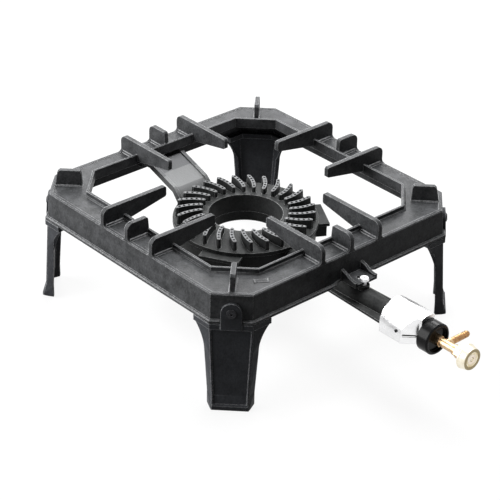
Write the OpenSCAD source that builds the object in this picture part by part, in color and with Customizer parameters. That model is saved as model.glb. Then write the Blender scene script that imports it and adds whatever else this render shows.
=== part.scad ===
// Cast-iron propane burner stand: an eight-sided pan frame on four bolted legs, a ring burner
// with spiral ported ribs, a venturi mixing tube with a sliding air shutter, and a needle valve.
// Millimetres, +Z up. The origin is on the ground under the middle of the burner.
// The gas inlet points to -Y, and s below is a distance along the tube towards -Y.

/* [Frame] */
// Width of the frame across its flat sides, at its top edge
frame_w = 380; // [360:1:400]
// Height of the frame's top face above the ground
stand_h = 151; // [142:1:180]
// Leg of the corner chamfer, measured along a side
corner_cut = 34.5; // [30:0.5:38]
// Height of the skirt, from the top face to its bottom edge
skirt_h = 37.5; // [35:0.5:42]
// Wall thickness of the skirt
skirt_t = 4; // [3.5:0.5:6]
// How far the skirt leans out from its top edge to its bottom edge
skirt_draft = 2; // [1:0.25:3]
// Width of the flat top face, from its outer edge to the rim
deck_w = 31; // [30:0.5:34]
// Thickness of the flat top face
deck_t = 5; // [4:0.5:6]
// Width of the low curb along the top face's outer edge
curb_w = 5; // [3:0.5:7]
// Height of that curb
curb_h = 0.5; // [0.3:0.1:1]
// Chamfer leg of the window inside the rim
window_cut = 40; // [36:0.5:44]
// Thickness of the rim round the window
rim_t = 3; // [2.5:0.5:4]
// Height of the rim above the top face
rim_rise = 6.5; // [5:0.5:8]
// Depth of the rim below the top face
rim_drop = 7; // [6:0.5:11]
// Height of the bead round the foot of the skirt
bead_h = 5; // [4:0.5:6]
// How far the bead stands out of the skirt
bead_out = 3; // [2:0.5:4]

/* [Pan supports] */
// Height of the pan supports above the top face
support_h = 22.5; // [18:0.5:28]
// Thickness of a pan support
finger_t = 6; // [5:0.5:7]
// Distance between the two long fingers of a side
finger_pitch = 93; // [80:1:100]
// Clear distance between the tips of opposite fingers
finger_gap = 185; // [180:1:205]
// Depth of a finger at its tip
finger_tip_h = 14; // [10:0.5:16]
// How far a finger's root reaches below the top face at the rim
finger_root = 3; // [1:0.5:5]
// Radius of a finger's outer shoulder
shoulder_r = 9; // [6:0.5:12]
// Radius of a finger's nose and of the small round corners
nose_r = 3; // [1.5:0.5:4]
// Radius of the flare where a support meets the skirt
flare_r = 4; // [2:0.5:6]
// Height of a corner fin above the top face
corner_fin_h = 21; // [16:0.5:24]
// Length of a corner fin at its base
corner_fin_l = 34; // [28:1:38]

/* [Clamp lug] */
// Width of the slotted lug outside its two gussets
lug_w = 36; // [34:1:40]
// How far the lug reaches out from the top edge of the skirt
lug_reach = 26; // [24:1:30]
// Depth of the lug's floor below the top face
lug_drop = 29; // [28:0.5:31]
// Thickness of the lug's floor
lug_t = 6; // [5:0.5:7]
// Thickness of a gusset
gusset_t = 4; // [3:0.5:5]
// Height of the arch in the skirt above its bottom edge
arch_h = 5; // [4:0.5:6]
// Half width of the arch at the bottom edge
arch_half_w = 38; // [32:1:42]
// Diameter of the clamp screw
clamp_d = 6; // [5:0.5:6]
// Distance of the clamp screw from the top edge of the skirt
clamp_reach = 22.5; // [20:0.5:23]

/* [Legs] */
// Width of a leg's outer face under the flange
leg_w_top = 52; // [48:0.5:54]
// Width of a leg's outer face at the foot
leg_w_foot = 44.5; // [38:0.5:48]
// Wall thickness of a leg
leg_t = 4.5; // [4:0.25:5.5]
// Depth of a leg's channel
leg_depth = 9.5; // [8:0.5:12]
// How far a leg leans out between its flange and its foot
leg_lean = 5.7; // [3:0.1:8]
// Splay of a leg's side walls below the flange
leg_splay = 7.2; // [6:0.1:9]
// Splay of the side walls at the foot
foot_splay = 5.8; // [4.5:0.1:7]
// Thickness of the flange on top of a leg
flange_t = 7; // [5:0.5:9]
// Width of that flange
flange_w = 14; // [12:0.5:18]
// Length of the flange's wing along each side of the frame
wing_l = 26.5; // [22:0.5:32]
// Height over which the wing narrows into the leg
wing_fall = 33; // [26:1:40]
// Height of the flared foot
foot_h = 18; // [14:1:24]
// How far the foot flares outwards
foot_flare = 5; // [3:0.5:7]
// Height of the raised border round a leg's outer face
border_h = 0.9; // [0.5:0.1:1.2]
// Width of that border
border_w = 2; // [1.6:0.1:3]
// Height of the lip along the foot
lip_h = 6.5; // [5:0.5:9]
// Width of the bolting tab
tab_w = 25; // [22:1:28]
// Thickness of the bolting tab
tab_t = 4; // [3:0.5:5]
// Height of the leg bolt above the skirt's bottom edge
bolt_rise = 14.5; // [13.5:0.5:17]
// Diameter of a leg bolt
bolt_d = 6; // [5:0.5:8]

/* [Burner] */
// Outer diameter of the burner cap
cap_d = 184; // [180:1:186]
// Diameter of the burner's centre hole
hole_d = 94; // [88:1:96]
// Depth of the cap's outer edge below the frame's top face
cap_drop = 35; // [34:0.5:38]
// Rise of the cap from its outer edge to its centre hole
cap_rise = 6; // [5:0.5:8]
// Thickness of the cap
cap_t = 5; // [4:0.5:6]
// Height of the rib tops above the cap's outer edge
rib_rise = 13.5; // [12:0.5:16]
// Number of ribs round the cap
rib_n = 27; // [24:1:28]
// Width of a rib along its top
rib_w = 4.6; // [4:0.1:5]
// Growth of a rib's width for each millimetre down
rib_draft = 0.05; // [0.03:0.01:0.08]
// Radius of the arc that a rib follows
rib_arc_r = 60; // [50:1:80]
// Angle of that arc
rib_arc = 30; // [24:1:31]
// Turn of the whole ring of ribs
rib_turn = -1.7; // [-6:0.1:6]
// Lean of a rib's inner end from the radius
rib_lead = 8; // [4:1:14]
// Gas ports along each rib
port_n = 5; // [3:1:5]
// Diameter of a gas port
port_d = 2; // [1.5:0.1:2.4]
// Depth of the burner body below the cap's rim
body_h = 26; // [25:0.5:30]
// Wall thickness of the burner body
body_t = 4.5; // [4:0.5:6]
// Distance of the side lugs' flat faces from the burner's middle
side_lug_r = 103; // [100:1:105]
// Width of the side lugs
side_lug_w = 51; // [44:1:54]
// Width of the rear arm
arm_w = 56; // [48:1:60]
// Thickness of the rear arm
arm_t = 5.5; // [4.5:0.5:6.5]
// Drop from the top face to the flat part of the rear arm
arm_drop = 15; // [14:0.5:18]
// Run of the rear arm's steep part, out from the body
arm_run = 20; // [16:1:24]
// Diameter of the three screws that hold the cap
cap_screw_d = 5; // [4:0.5:6]

/* [Mixing tube] */
// Depth of the tube's axis below the frame's top face
tube_drop = 52.5; // [52:0.5:54]
// Outer radius of the tube where it leaves the burner
tube_r = 15; // [14.5:0.25:16]
// Outer radius of the tube at its throat
throat_r = 11.8; // [11:0.1:12.5]
// Bore radius at the throat
throat_bore_r = 8; // [7:0.25:9]
// Distance of the throat from the burner's middle
throat_s = 262; // [256:1:266]
// Distance of the tube's mouth from the burner's middle
mouth_s = 290; // [287:1:293]
// Width across the tube's two rails
rail_w = 47; // [45:0.5:49]
// Width across the rails where they leave the burner
rail_back_w = 35; // [32:0.5:38]
// Thickness of a rail
rail_t = 3; // [2.5:0.25:4]
// Radius of the hub at the end of the rails
hub_r = 10; // [9:0.25:10.5]
// Distance of the drum's rear face from the burner's middle
drum_s = 318; // [315:1:320]

/* [Air shutter] */
// Thickness of the sheet
sheet_t = 1.2; // [1:0.1:1.5]
// Length of the shutter
shutter_l = 53; // [50:1:55]
// Depth of the shutter's sides below the tube's axis
shutter_side = 12; // [10:0.5:14]
// Chamfer of the shutter's front corners, across the tube
shutter_nip_x = 14.4; // [12:0.2:14.8]
// Chamfer of the shutter's front corners, along the tube
shutter_nip_s = 18; // [15:1:20]
// Distance the shutter slides open
shutter_travel = 16; // [10:1:17]
// Diameter of a guide pin
pin_d = 2.4; // [2:0.2:3]
// Running gap between the shutter and the rails
slide_gap = 0.3; // [0.2:0.05:0.4]

/* [Valve] */
// Diameter of the black drum
drum_d = 39; // [38:0.5:42]
// Length of the drum
drum_l = 17; // [15:0.5:20]
// Wall thickness of the drum
drum_t = 3.5; // [3:0.5:4.5]
// Depth of the recess in the drum's face
drum_recess = 4; // [3:0.5:6]
// Thickness of the drum's web
drum_web = 6; // [4:0.5:8]
// Width across flats of the valve's hexagon
valve_af = 12; // [11.5:0.5:14]
// Length of the valve's hexagon
valve_hex_l = 9; // [7:0.5:10]
// Diameter of the valve's body
valve_d = 11; // [10:0.5:12]
// Length of the valve's body in front of its hexagon
valve_l = 25; // [24:0.5:30]
// Diameter of the threaded nose that holds the valve
nose_d = 10; // [9:0.5:11]
// Distance of the hose barb from the hexagon's front face
barb_s = 7; // [6.5:0.5:10]
// Diameter of the hose barb
barb_d = 8.4; // [7:0.1:9]
// Distance of the barb's tip from the valve's axis
barb_reach = 37; // [32:1:46]
// Width across flats of the gland nut
gland_af = 14; // [13:0.5:16]
// Length of the gland nut outside the valve's body
gland_l = 7; // [6:0.5:9]
// Diameter of the needle spindle
spindle_d = 6; // [5:0.25:6]
// Largest diameter of the knob
knob_d = 31; // [26:0.5:34]
// Diameter of the knob's face
knob_face_d = 25.5; // [22:0.5:27]
// Length of the knob
knob_l = 13.5; // [11:0.5:15]
// Gap between the gland nut and the closed knob
knob_gap = 3; // [2:0.5:5]

/* [Fits] */
// Radial gap between a fixed screw or spigot and its hole
fit = 0.1; // [0.05:0.01:0.2]
// Radial running gap of the needle spindle
run_gap = 0.06; // [0.04:0.01:0.1]
// Radial gap of a bolt in its clearance hole
bolt_gap = 0.4; // [0.2:0.05:0.6]

/* [Hidden] */
$fn = 64;
eps = 0.01;

// Frame
half_w = frame_w / 2;
skirt_z = stand_h - skirt_h;
foot_half_w = half_w + skirt_draft;
diagonal_loss = 2 - sqrt(2);
window_half = half_w - deck_w;
support_z = stand_h + support_h;
tip_x = finger_gap / 2;
edge_break = 1.2;

// Distance from the middle to a corner's chamfer face, and the lean of that face
function chamfer_r(half, cut) = (2 * half - cut) / sqrt(2);
corner_top_r = chamfer_r(half_w, corner_cut);
corner_foot_r = corner_top_r * foot_half_w / half_w;
corner_lean = atan((corner_foot_r - corner_top_r) / skirt_h);
window_corner_r = chamfer_r(window_half, window_cut);

// Lug, arch and tube heights
lug_z = stand_h - lug_drop;
lug_s = half_w + lug_reach;
clamp_s = half_w + clamp_reach;
tube_z = stand_h - tube_drop;
clamp_grip = clamp_d;
waist_s = half_w + 10;
arch_flat = arch_half_w - 3 * arch_h;

// Burner
cap_z = stand_h - cap_drop;
cap_r = cap_d / 2;
hole_r = hole_d / 2;
rib_top_z = cap_z + rib_rise;
rim_z = cap_z - cap_t;
ceiling_z = rim_z + 1.5;
body_z = rim_z - body_h;
body_r = cap_r - 3;
trough_r = body_r - body_t;
inner_wall_r = hole_r + body_t;
inner_seat_z = body_z + body_h / 2;
rib_start_r = inner_wall_r + 5;
cap_screw_r = (inner_wall_r + trough_r) / 2;
boss_r = cap_screw_d;
cap_screw_l = 3 * body_t;
arm_top_z = stand_h - arm_drop;
shelf_z = arm_top_z - arm_t;

// Tube, shutter and valve, as distances s from the middle towards -Y
rail_z = tube_z;
shutter_r = rail_w / 2 + slide_gap + sheet_t;
hub_back_s = mouth_s + 10;
drum_face_s = drum_s + drum_l;
web_s = drum_face_s - drum_recess;
shutter_front_s = drum_s - slide_gap;
shutter_back_s = shutter_front_s - shutter_l;
hex_s = web_s + valve_hex_l;
body_end_s = hex_s + valve_l;
barb_at_s = hex_s + barb_s;
gland_s = body_end_s + gland_l;
knob_s = gland_s + knob_gap;
nose_s = hub_back_s - 8;
seat_s = barb_at_s - 4;
pin_s = shutter_front_s - shutter_l * 0.49;
pin_z = rail_z + slide_gap + pin_d / 2;

iron = "dimgray";
leg_corners = [225, 315, 135, 45];

// --- Shared shapes ---

module octagon(half, cut) {
    n = half - cut;
    polygon([[half, n], [n, half], [-n, half], [-half, n],
        [-half, -n], [-n, -half], [n, -half], [half, -n]]);
}

// An eight-sided ring prism with parallel walls
module octagon_ring(half, cut, wall, height) {
    linear_extrude(height)
        difference() {
            octagon(half, cut);
            octagon(half - wall, cut - wall * diagonal_loss);
        }
}

// The skirt's drafted outer form, moved out by grow, between two heights above its bottom edge
module skirt_form(grow, from_h, to_h) {
    function lean(h) = 1 + skirt_draft / half_w * (1 - h / skirt_h);
    translate([0, 0, skirt_z + from_h])
        linear_extrude(to_h - from_h, scale = lean(to_h) / lean(from_h))
            scale(lean(from_h))
                octagon(half_w + grow, corner_cut + grow * diagonal_loss);
}

// Turns a profile drawn as [radius, s] about the tube's axis
module tube_turn(points) {
    translate([0, 0, tube_z])
        rotate([90, 0, 0])
            rotate_extrude()
                polygon(points);
}

// A round bar along the tube's axis
module tube_bar(r, from_s, to_s) {
    translate([0, -from_s, tube_z])
        rotate([90, 0, 0])
            cylinder(h = to_s - from_s, r = r);
}

// A hexagon bar along the tube's axis
module tube_hex(flats, from_s, to_s) {
    translate([0, -from_s, tube_z])
        rotate([90, 0, 0])
            cylinder(h = to_s - from_s, d = flats / cos(30), $fn = 6);
}

// Puts children on a corner's chamfer face: +X outwards, +Z up the face, origin at its foot
module on_corner_face(angle) {
    rotate([0, 0, angle])
        translate([corner_foot_r, 0, skirt_z])
            rotate([0, -corner_lean, 0])
                children();
}

module each_side() {
    for (turn = [0 : 90 : 270])
        rotate([0, 0, turn])
            children();
}

// --- Frame ---

// Side view of a long finger, with x measured from the middle of the frame
module finger_outline() {
    root_x = window_half - rim_t;
    polygon([[half_w - skirt_t, stand_h - deck_t], [half_w, stand_h - deck_t],
        [half_w, support_z - shoulder_r], [half_w - shoulder_r, support_z],
        [tip_x + nose_r, support_z], [tip_x, support_z - nose_r],
        [tip_x, support_z - finger_tip_h + nose_r], [tip_x + nose_r, support_z - finger_tip_h],
        [root_x, stand_h - finger_root], [root_x + rim_t, stand_h - deck_t]]);
    translate([half_w - shoulder_r, support_z - shoulder_r])
        circle(shoulder_r);
    translate([tip_x + nose_r, support_z - nose_r])
        circle(nose_r);
    translate([tip_x + nose_r, support_z - finger_tip_h + nose_r])
        circle(nose_r);
}

// Side view of a short fin between the fingers
module stub_outline() {
    inner_x = window_half - rim_t;
    polygon([[inner_x, stand_h - deck_t], [half_w, stand_h - deck_t],
        [half_w, support_z - shoulder_r], [half_w - shoulder_r, support_z],
        [inner_x + nose_r + 2, support_z], [inner_x + 2, support_z - nose_r]]);
    translate([half_w - shoulder_r, support_z - shoulder_r])
        circle(shoulder_r);
    translate([inner_x + nose_r + 2, support_z - nose_r])
        circle(nose_r);
}

// Extrudes a side view to a support's thickness, with the flare at its outer end
module support(y) {
    translate([0, y + finger_t / 2, 0])
        rotate([90, 0, 0])
            linear_extrude(finger_t)
                children();
    translate([half_w - skirt_t, y, stand_h])
        rotate([90, 0, 90])
            linear_extrude(skirt_t)
                difference() {
                    translate([-finger_t / 2 - flare_r, -1])
                        square([finger_t + 2 * flare_r, flare_r + 1]);
                    for (side = [-1, 1])
                        translate([side * (finger_t / 2 + flare_r), flare_r])
                            circle(flare_r);
                }
}

module corner_fin() {
    base_r = (window_corner_r + corner_top_r) / 2 + 2;
    b = corner_fin_l / 2;
    translate([0, finger_t / 2, 0])
        rotate([90, 0, 0])
            linear_extrude(finger_t)
                polygon([[base_r - b, stand_h - deck_t], [base_r + b, stand_h - deck_t],
                    [base_r + b, stand_h + 1], [base_r + b - nose_r, stand_h + corner_fin_h - nose_r],
                    [base_r + b - 2 * nose_r, stand_h + corner_fin_h],
                    [base_r - b + nose_r, stand_h + corner_fin_h],
                    [base_r - b + 1, stand_h + corner_fin_h - nose_r], [base_r - b, stand_h + 1]]);
}

// The arch over the tube, seen from the front, moved out by grow
module arch_outline(grow) {
    top = arch_h + grow;
    polygon([[-arch_half_w - grow, -1], [-arch_half_w - grow, grow], [-arch_flat, top],
        [arch_flat, top], [arch_half_w + grow, grow], [arch_half_w + grow, -1]]);
}

module front_wall_extrude(out, depth) {
    translate([0, -half_w + depth, skirt_z])
        rotate([90, 0, 0])
            linear_extrude(depth + out)
                children();
}

// The slotted lug on the front of the skirt, which the mixing tube is clamped under
module clamp_lug() {
    gusset_top = lug_z + 11.5;
    lip = lug_z + 3;
    reach = lug_reach + skirt_t;
    translate([-lug_w / 2, -lug_s, lug_z - lug_t])
        cube([lug_w, reach, lug_t]);
    for (x = [-lug_w / 2, lug_w / 2 - gusset_t])
        translate([x, 0, 0])
            rotate([90, 0, 90])
                linear_extrude(gusset_t)
                    difference() {
                        polygon([[-lug_s, lug_z - eps], [-lug_s, lip], [-half_w + 1, gusset_top],
                            [-half_w + 1, lug_z - eps]]);
                        translate([-lug_s + 2, lip + 22])
                            circle(22);
                    }
}

module frame() {
    color(iron)
        difference() {
            union() {
                difference() {
                    union() {
                        skirt_form(0, 0, skirt_h - edge_break);
                        translate([0, 0, stand_h - edge_break])
                            linear_extrude(edge_break, scale = (half_w - edge_break) / half_w)
                                octagon(half_w, corner_cut);
                        skirt_form(bead_out, 1, bead_h - 1);
                        skirt_form(bead_out - 1, 0, bead_h);
                    }
                    // The hollow inside the skirt
                    translate([0, 0, skirt_z - 1])
                        linear_extrude(skirt_h + 1 - deck_t, scale = (half_w - skirt_t) / (foot_half_w - skirt_t))
                            octagon(foot_half_w - skirt_t, corner_cut - skirt_t * diagonal_loss);
                    // The top face inside its curb
                    translate([0, 0, stand_h - curb_h])
                        linear_extrude(2)
                            octagon(half_w - curb_w, corner_cut - curb_w * diagonal_loss);
                    // The window in the top face
                    translate([0, 0, stand_h - skirt_h])
                        linear_extrude(2 * skirt_h)
                            octagon(window_half, window_cut);
                }
                translate([0, 0, stand_h - rim_drop])
                    octagon_ring(window_half, window_cut, rim_t, rim_drop + rim_rise);
                each_side() {
                    for (y = [-finger_pitch / 2, finger_pitch / 2])
                        support(y)
                            finger_outline();
                    support(0)
                        stub_outline();
                    rotate([0, 0, 45])
                        corner_fin();
                }
                // The bead that follows the arch over the tube
                front_wall_extrude(bead_out, skirt_t)
                    arch_outline(bead_h - 3);
                clamp_lug();
                // The shelf inside the rear wall that carries the burner's arm
                translate([-arm_w / 2, foot_half_w - skirt_t - 15, shelf_z - 6])
                    cube([arm_w, 16, 6]);
            }
            front_wall_extrude(bead_out + lug_reach, skirt_t + 20)
                arch_outline(0);
            // The lug's slot, open to the front
            translate([0, -clamp_s + 8, lug_z - lug_t - 1])
                cylinder(h = lug_t + 2, d = clamp_d + 2 * bolt_gap);
            translate([-clamp_d / 2 - bolt_gap, -lug_s - 1, lug_z - lug_t - 1])
                cube([clamp_d + 2 * bolt_gap, lug_s - clamp_s + 9, lug_t + 2]);
            for (angle = leg_corners)
                on_corner_face(angle) {
                    translate([-skirt_t - 3, 0, bolt_rise])
                        rotate([0, 90, 0])
                            cylinder(h = skirt_t + 8, d = bolt_d + 2 * bolt_gap);
                    // The gap in the bead for the leg's tab
                    translate([0, -tab_w / 2 - 0.5, -1])
                        cube([bead_out + 4, tab_w + 1, bead_h + 2]);
                }
        }
}

// --- Legs ---

// Plan of a leg's channel: width of the outer face, depth and splay of the side walls
function channel_pts(w, d, s) = [[0, -w / 2], [0, w / 2], [-d, w / 2 + s], [-d, -w / 2 - s]];

// The space inside the same channel, for a wall t
function core_pts(w, d, s, t) =
    let (off = t * sqrt(1 + pow(s / d, 2)), deep = d + 1)
    let (near = w / 2 + s * t / d - off, far = w / 2 + s * deep / d - off)
    [[-t, -near], [-t, near], [-deep, far], [-deep, -far]];

// A straight-sided loft between two plans, each moved outwards
module loft(low, low_z, low_out, high, high_z, high_out) {
    hull() {
        translate([low_out, 0, low_z])
            linear_extrude(eps)
                polygon(low);
        translate([high_out, 0, high_z - eps])
            linear_extrude(eps)
                polygon(high);
    }
}

// The raised border round a leg's outer face, and the lip along its foot
module leg_border(top_z) {
    slope = atan(leg_lean / (top_z - foot_h));
    rise = (top_z - foot_h) / cos(slope);
    flare = atan(foot_flare / foot_h);
    fall = (foot_h - lip_h / 2) / cos(flare);
    low = leg_w_foot / 2 - 0.5;
    high = leg_w_top / 2 - 0.5;
    foot_x = corner_foot_r + leg_lean + foot_flare;
    translate([corner_foot_r + leg_lean, 0, foot_h]) {
        rotate([0, -slope, 0])
            rotate([90, 0, 90])
                translate([0, 0, -leg_t / 2])
                    linear_extrude(leg_t / 2 + border_h) {
                        for (side = [-1, 1])
                            polygon([[side * low, -border_h / 2], [side * (low - border_w), -border_h / 2],
                                [side * (high - border_w), rise], [side * high, rise]]);
                        translate([-high, rise - border_w])
                            square([2 * high, border_w]);
                    }
        rotate([0, -flare, 0])
            rotate([90, 0, 90])
                translate([0, 0, -leg_t / 2])
                    linear_extrude(leg_t / 2 + border_h)
                        for (side = [-1, 0])
                            translate([side * (2 * low - border_w) + low - border_w, -fall])
                                square([border_w, fall + border_h]);
    }
    rotate([90, 0, 0])
        translate([0, 0, -low])
            linear_extrude(2 * low)
                polygon([[foot_x - leg_t / 2, 0], [foot_x + border_h / 2, 0], [foot_x + border_h, border_h],
                    [foot_x + border_h / 2, lip_h - border_h], [foot_x - foot_flare * lip_h / foot_h, lip_h + border_h],
                    [foot_x - leg_t / 2 - foot_flare * lip_h / foot_h, lip_h]]);
}

module leg(angle) {
    top_z = skirt_z - flange_t;
    waist_z = top_z - wing_fall;
    wing = wing_l / sqrt(2);
    waist_share = (waist_z - foot_h) / (top_z - foot_h);
    waist_w = leg_w_foot + (leg_w_top - leg_w_foot) * waist_share;
    waist_out = leg_lean * (1 - waist_share);
    waist_edge = waist_w / 2 + leg_splay;
    wing_edge = leg_w_top / 2 + wing - 0.3;
    // Radius that starts upright at the waist and ends at the wing's tip
    sweep_r = (pow(wing_edge - waist_edge, 2) + pow(wing_fall, 2)) / (2 * (wing_edge - waist_edge));
    difference() {
        union() {
            rotate([0, 0, angle])
                translate([corner_foot_r, 0, 0])
                    difference() {
                        union() {
                            loft(channel_pts(waist_w, leg_depth, leg_splay), waist_z, waist_out,
                                channel_pts(leg_w_top, wing, wing), top_z + eps, 0);
                            loft(channel_pts(leg_w_foot, leg_depth, foot_splay), foot_h, leg_lean,
                                channel_pts(waist_w, leg_depth, leg_splay), waist_z + eps, waist_out);
                            loft(channel_pts(leg_w_foot, leg_depth + foot_flare, foot_splay), 0, leg_lean + foot_flare,
                                channel_pts(leg_w_foot, leg_depth, foot_splay), foot_h + eps, leg_lean);
                        }
                        loft(core_pts(waist_w, leg_depth, leg_splay, leg_t), waist_z, waist_out,
                            core_pts(leg_w_top, wing, wing, leg_t), top_z + 2 * eps, 0);
                        loft(core_pts(leg_w_foot, leg_depth, foot_splay, leg_t), foot_h, leg_lean,
                            core_pts(waist_w, leg_depth, leg_splay, leg_t), waist_z + eps, waist_out);
                        loft(core_pts(leg_w_foot, leg_depth + foot_flare, foot_splay, leg_t), -eps, leg_lean + foot_flare,
                            core_pts(leg_w_foot, leg_depth, foot_splay, leg_t), foot_h + eps, leg_lean);
                        // The hollow curve under each wing
                        for (side = [-1, 1])
                            translate([-60, side * (waist_edge + sweep_r), waist_z])
                                rotate([0, 90, 0])
                                    cylinder(h = 80, r = sweep_r);
                        // The side walls rise off the ground towards the rear
                        rotate([90, 0, 0])
                            translate([0, 0, -leg_w_top - 10])
                                linear_extrude(2 * leg_w_top + 20)
                                    polygon([[leg_lean + foot_flare - leg_t, -1], [leg_lean + foot_flare - leg_t, 0],
                                        [leg_lean - leg_depth - 3, foot_h * 0.1], [leg_lean - leg_depth - 3, -1]]);
                    }
            rotate([0, 0, angle])
                leg_border(top_z);
            // The flange under the skirt, with a wing along each side
            translate([0, 0, top_z])
                intersection() {
                    octagon_ring(foot_half_w + bead_out, corner_cut + bead_out * diagonal_loss, flange_w, flange_t);
                    rotate([0, 0, angle])
                        translate([corner_foot_r - 60, 0, 0])
                            rotate([0, 0, -45])
                                translate([wing_cut(), wing_cut(), 0])
                                    cube([90, 90, flange_t]);
                }
            // The half-round tab that is bolted to the frame's corner
            on_corner_face(angle)
                rotate([90, 0, 90])
                    linear_extrude(tab_t) {
                        translate([-tab_w / 2, -flange_t])
                            square([tab_w, flange_t + bolt_rise]);
                        translate([0, bolt_rise])
                            circle(d = tab_w);
                    }
        }
        on_corner_face(angle)
            translate([-10, 0, bolt_rise])
                rotate([0, 90, 0])
                    cylinder(h = 20, d = bolt_d + 2 * bolt_gap);
    }
}

// Where a wing ends, measured in the corner's own square frame
function wing_cut() = foot_half_w - corner_cut - wing_l - (corner_foot_r - 60) / sqrt(2);

module leg_front_left() {
    color(iron)
        leg(leg_corners[0]);
}

module leg_front_right() {
    color(iron)
        leg(leg_corners[1]);
}

module leg_rear_left() {
    color(iron)
        leg(leg_corners[2]);
}

module leg_rear_right() {
    color(iron)
        leg(leg_corners[3]);
}

// Radially along a leg bolt: the washer and the nut sit inside the skirt
washer_t = 1.6;
nut_t = bolt_d * 0.8;
inner_face = -skirt_t - 0.1;

module on_leg_bolts() {
    for (angle = leg_corners)
        on_corner_face(angle)
            translate([0, 0, bolt_rise])
                rotate([0, 90, 0])
                    children();
}

module leg_bolts() {
    color("black")
        on_leg_bolts() {
            translate([0, 0, inner_face - washer_t - nut_t - 3])
                cylinder(h = tab_t - inner_face + washer_t + nut_t + 3, d = bolt_d);
            difference() {
                union() {
                    translate([0, 0, tab_t])
                        cylinder(h = bolt_d * 0.15, d = bolt_d * 1.9);
                    translate([0, 0, tab_t + bolt_d * 0.15 - eps])
                        cylinder(h = bolt_d * 0.2, d1 = bolt_d * 1.9, d2 = bolt_d * 1.2);
                }
                translate([0, 0, tab_t - eps])
                    cylinder(h = bolt_d, d = bolt_d * 0.667 / cos(30), $fn = 6);
            }
        }
}

module leg_washers() {
    color("gray")
        on_leg_bolts()
            translate([0, 0, inner_face - washer_t])
                difference() {
                    cylinder(h = washer_t, d = bolt_d * 2);
                    translate([0, 0, -1])
                        cylinder(h = washer_t + 2, d = bolt_d + 2 * bolt_gap);
                }
}

module leg_nuts() {
    color("gray")
        on_leg_bolts()
            translate([0, 0, inner_face - washer_t - nut_t])
                difference() {
                    cylinder(h = nut_t, d = bolt_d * 1.667 / cos(30), $fn = 6);
                    translate([0, 0, -1])
                        cylinder(h = nut_t + 2, d = bolt_d + 2 * fit);
                }
}

// --- Burner ---

cap_screw_angles = [90, 210, 330];

module on_cap_screws() {
    for (angle = cap_screw_angles)
        rotate([0, 0, angle])
            translate([cap_screw_r, 0, 0])
                children();
}

// The rear arm's side view: up steeply from the body, then along to its tongue
function arm_points(lift) = [
    [body_r - 2, body_z + body_h * 0.62 + lift], [body_r + 4, body_z + body_h * 0.8 + lift],
    [body_r + arm_run, cap_z + 4 + lift], [half_w - deck_w - 3, arm_top_z + lift],
    [half_w - skirt_t - 3, arm_top_z + lift], [half_w - skirt_t - 3, shelf_z],
    [half_w - deck_w - 1, shelf_z], [body_r + arm_run + 2, cap_z + 4 - arm_t],
    [body_r + 8, body_z + body_h * 0.72 - arm_t], [body_r - 2, body_z + body_h * 0.5 - arm_t]];

module arm_slice(width, lift) {
    rotate([90, 0, 90])
        linear_extrude(width)
            polygon(arm_points(lift));
}

module rear_arm() {
    edge = 5;
    translate([-arm_w / 2, 0, 0])
        arm_slice(arm_w, 0);
    for (x = [-arm_w / 2, arm_w / 2 - edge])
        translate([x, 0, 0])
            intersection() {
                arm_slice(edge, 2.5);
                cube([edge, half_w - deck_w - 2, stand_h]);
            }
}

module side_lug(angle) {
    rotate([0, 0, angle]) {
        translate([trough_r + 1, -side_lug_w / 2 + 3, rim_z - 20])
            cube([side_lug_r - 3 - trough_r - 1, side_lug_w - 6, 19]);
        translate([trough_r + 1, -side_lug_w / 2, rim_z - 4.2])
            cube([side_lug_r - trough_r - 1, side_lug_w, 4]);
    }
}

// Plan of the two rails, which close in on the hub
module rail_plan() {
    w = rail_w / 2;
    bend_s = hub_back_s - 2;
    for (side = [-1, 1])
        polygon([[0, -body_r], [side * rail_back_w / 2, -body_r], [side * w, -throat_s],
            [side * w, -bend_s], [side * hub_r / 2, -bend_s - w + hub_r / 2], [0, -bend_s - w + hub_r / 2]]);
}

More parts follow.
